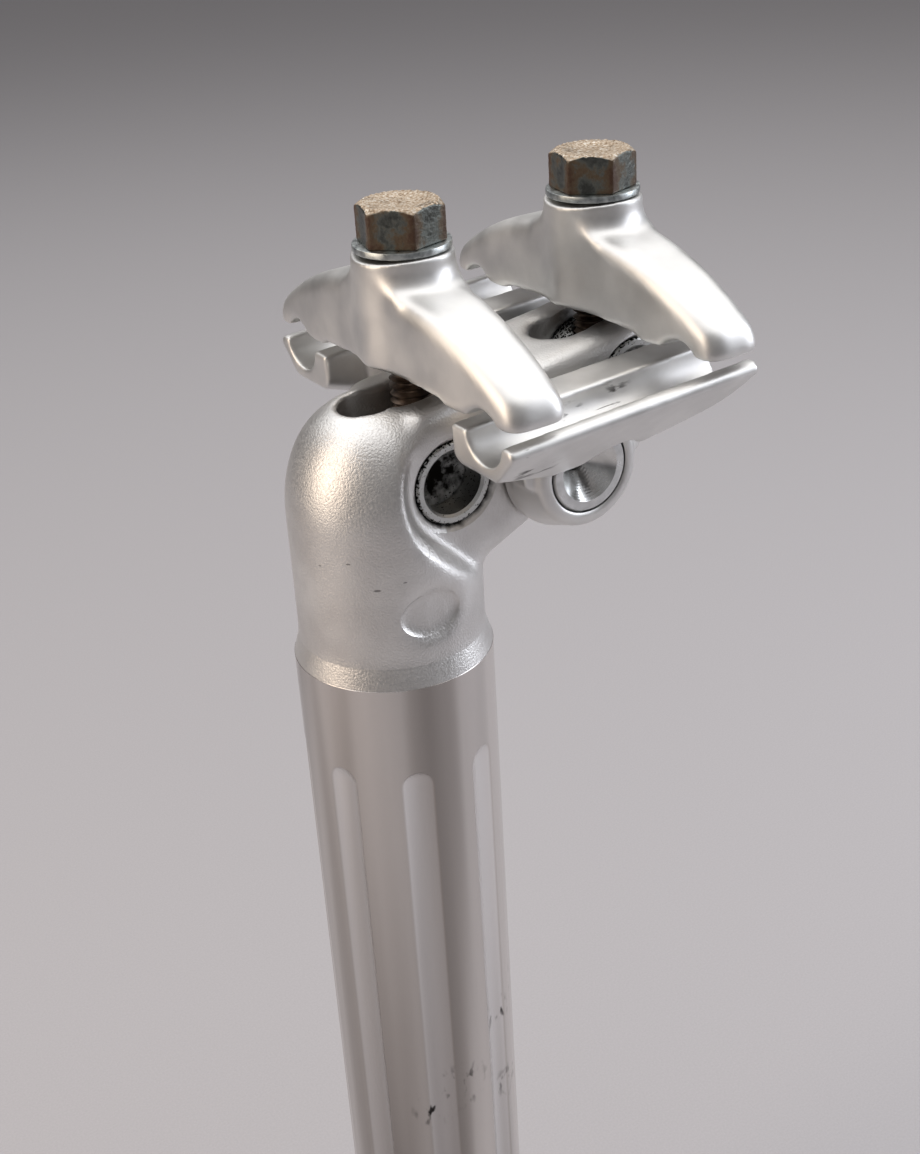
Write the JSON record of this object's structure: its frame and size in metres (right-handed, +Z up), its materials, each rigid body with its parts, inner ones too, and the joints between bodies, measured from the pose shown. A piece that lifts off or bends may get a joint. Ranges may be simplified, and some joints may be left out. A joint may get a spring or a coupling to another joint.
{
  "type": "bicycle seatpost",
  "caption": "Two-bolt bicycle seatpost: fluted round shaft, forged offset head and twin rail cradles under bridging clamps that set the saddle's tilt.",
  "frame": {"origin": "on the shaft's axis at its lower end", "axes": "+Z up the shaft, +X to the rear of the bicycle, -Y to the rider's left"},
  "size_m": [0.0566, 0.0568, 0.2407],
  "materials": {
    "anodised_aluminium": "satin blasted head, polished fluted shaft",
    "polished_aluminium": "worn satin polish",
    "machined_pin": "turned",
    "zinc_washer": "dull zinc plate",
    "rusty_steel": "plating worn, light rust on top",
    "greasy_steel": "turned ring, black grease in the hollow"
  },
  "bodies": {
    "post": {"post": "anodised_aluminium"},
    "cradle": {"left_cradle": "polished_aluminium", "right_cradle": "polished_aluminium", "pivot_pin": "machined_pin", "front_clamp": "polished_aluminium", "front_washer": "zinc_washer", "rear_clamp": "polished_aluminium"},
    "front_nut": {"front_barrel_nut": "greasy_steel"},
    "front_bolt": {"front_bolt": "rusty_steel"},
    "rear_nut": {"rear_barrel_nut": "greasy_steel"},
    "rear_washer": {"rear_washer": "zinc_washer"},
    "rear_bolt": {"rear_bolt": "rusty_steel"}
  },
  "joints": [
    {"name": "saddle_tilt", "type": "hinge", "parent": "post", "child": "cradle", "pos_m": [0.0221, 0, 0.2043], "axis": [0, 1, 0], "range_deg": [-7, 5]},
    {"name": "front_nut_swing", "type": "hinge", "parent": "post", "child": "front_nut", "pos_m": [0.0058, 0, 0.20475], "axis": [0, 1, 0], "range_deg": [-7.2, 5.2]},
    {"name": "front_bolt_turn", "type": "hinge", "parent": "cradle", "child": "front_bolt", "pos_m": [0.0058, 0, 0.235], "axis": [0, 0, 1], "range_deg": [-730, 530]},
    {"name": "rear_nut_swing", "type": "hinge", "parent": "post", "child": "rear_nut", "pos_m": [0.0354, 0, 0.2114], "axis": [0, 1, 0], "range_deg": [-9.4, 6.8]},
    {"name": "rear_bolt_lean", "type": "hinge", "parent": "cradle", "child": "rear_washer", "pos_m": [0.0354, 0, 0.23479], "axis": [0, 1, 0], "range_deg": [-2.2, 1.6]},
    {"name": "rear_bolt_turn", "type": "hinge", "parent": "rear_washer", "child": "rear_bolt", "pos_m": [0.0354, 0, 0.2362], "axis": [0, 0, 1], "range_deg": [-430, 600]}
  ],
  "couplings": [
    {"joint": "front_nut_swing", "follows": "saddle_tilt", "ratio": 1},
    {"joint": "front_bolt_turn", "follows": "saddle_tilt", "ratio": 102.42},
    {"joint": "rear_nut_swing", "follows": "saddle_tilt", "ratio": 1.3},
    {"joint": "rear_bolt_lean", "follows": "saddle_tilt", "ratio": 0.3},
    {"joint": "rear_bolt_turn", "follows": "saddle_tilt", "ratio": -83.566}
  ]
}
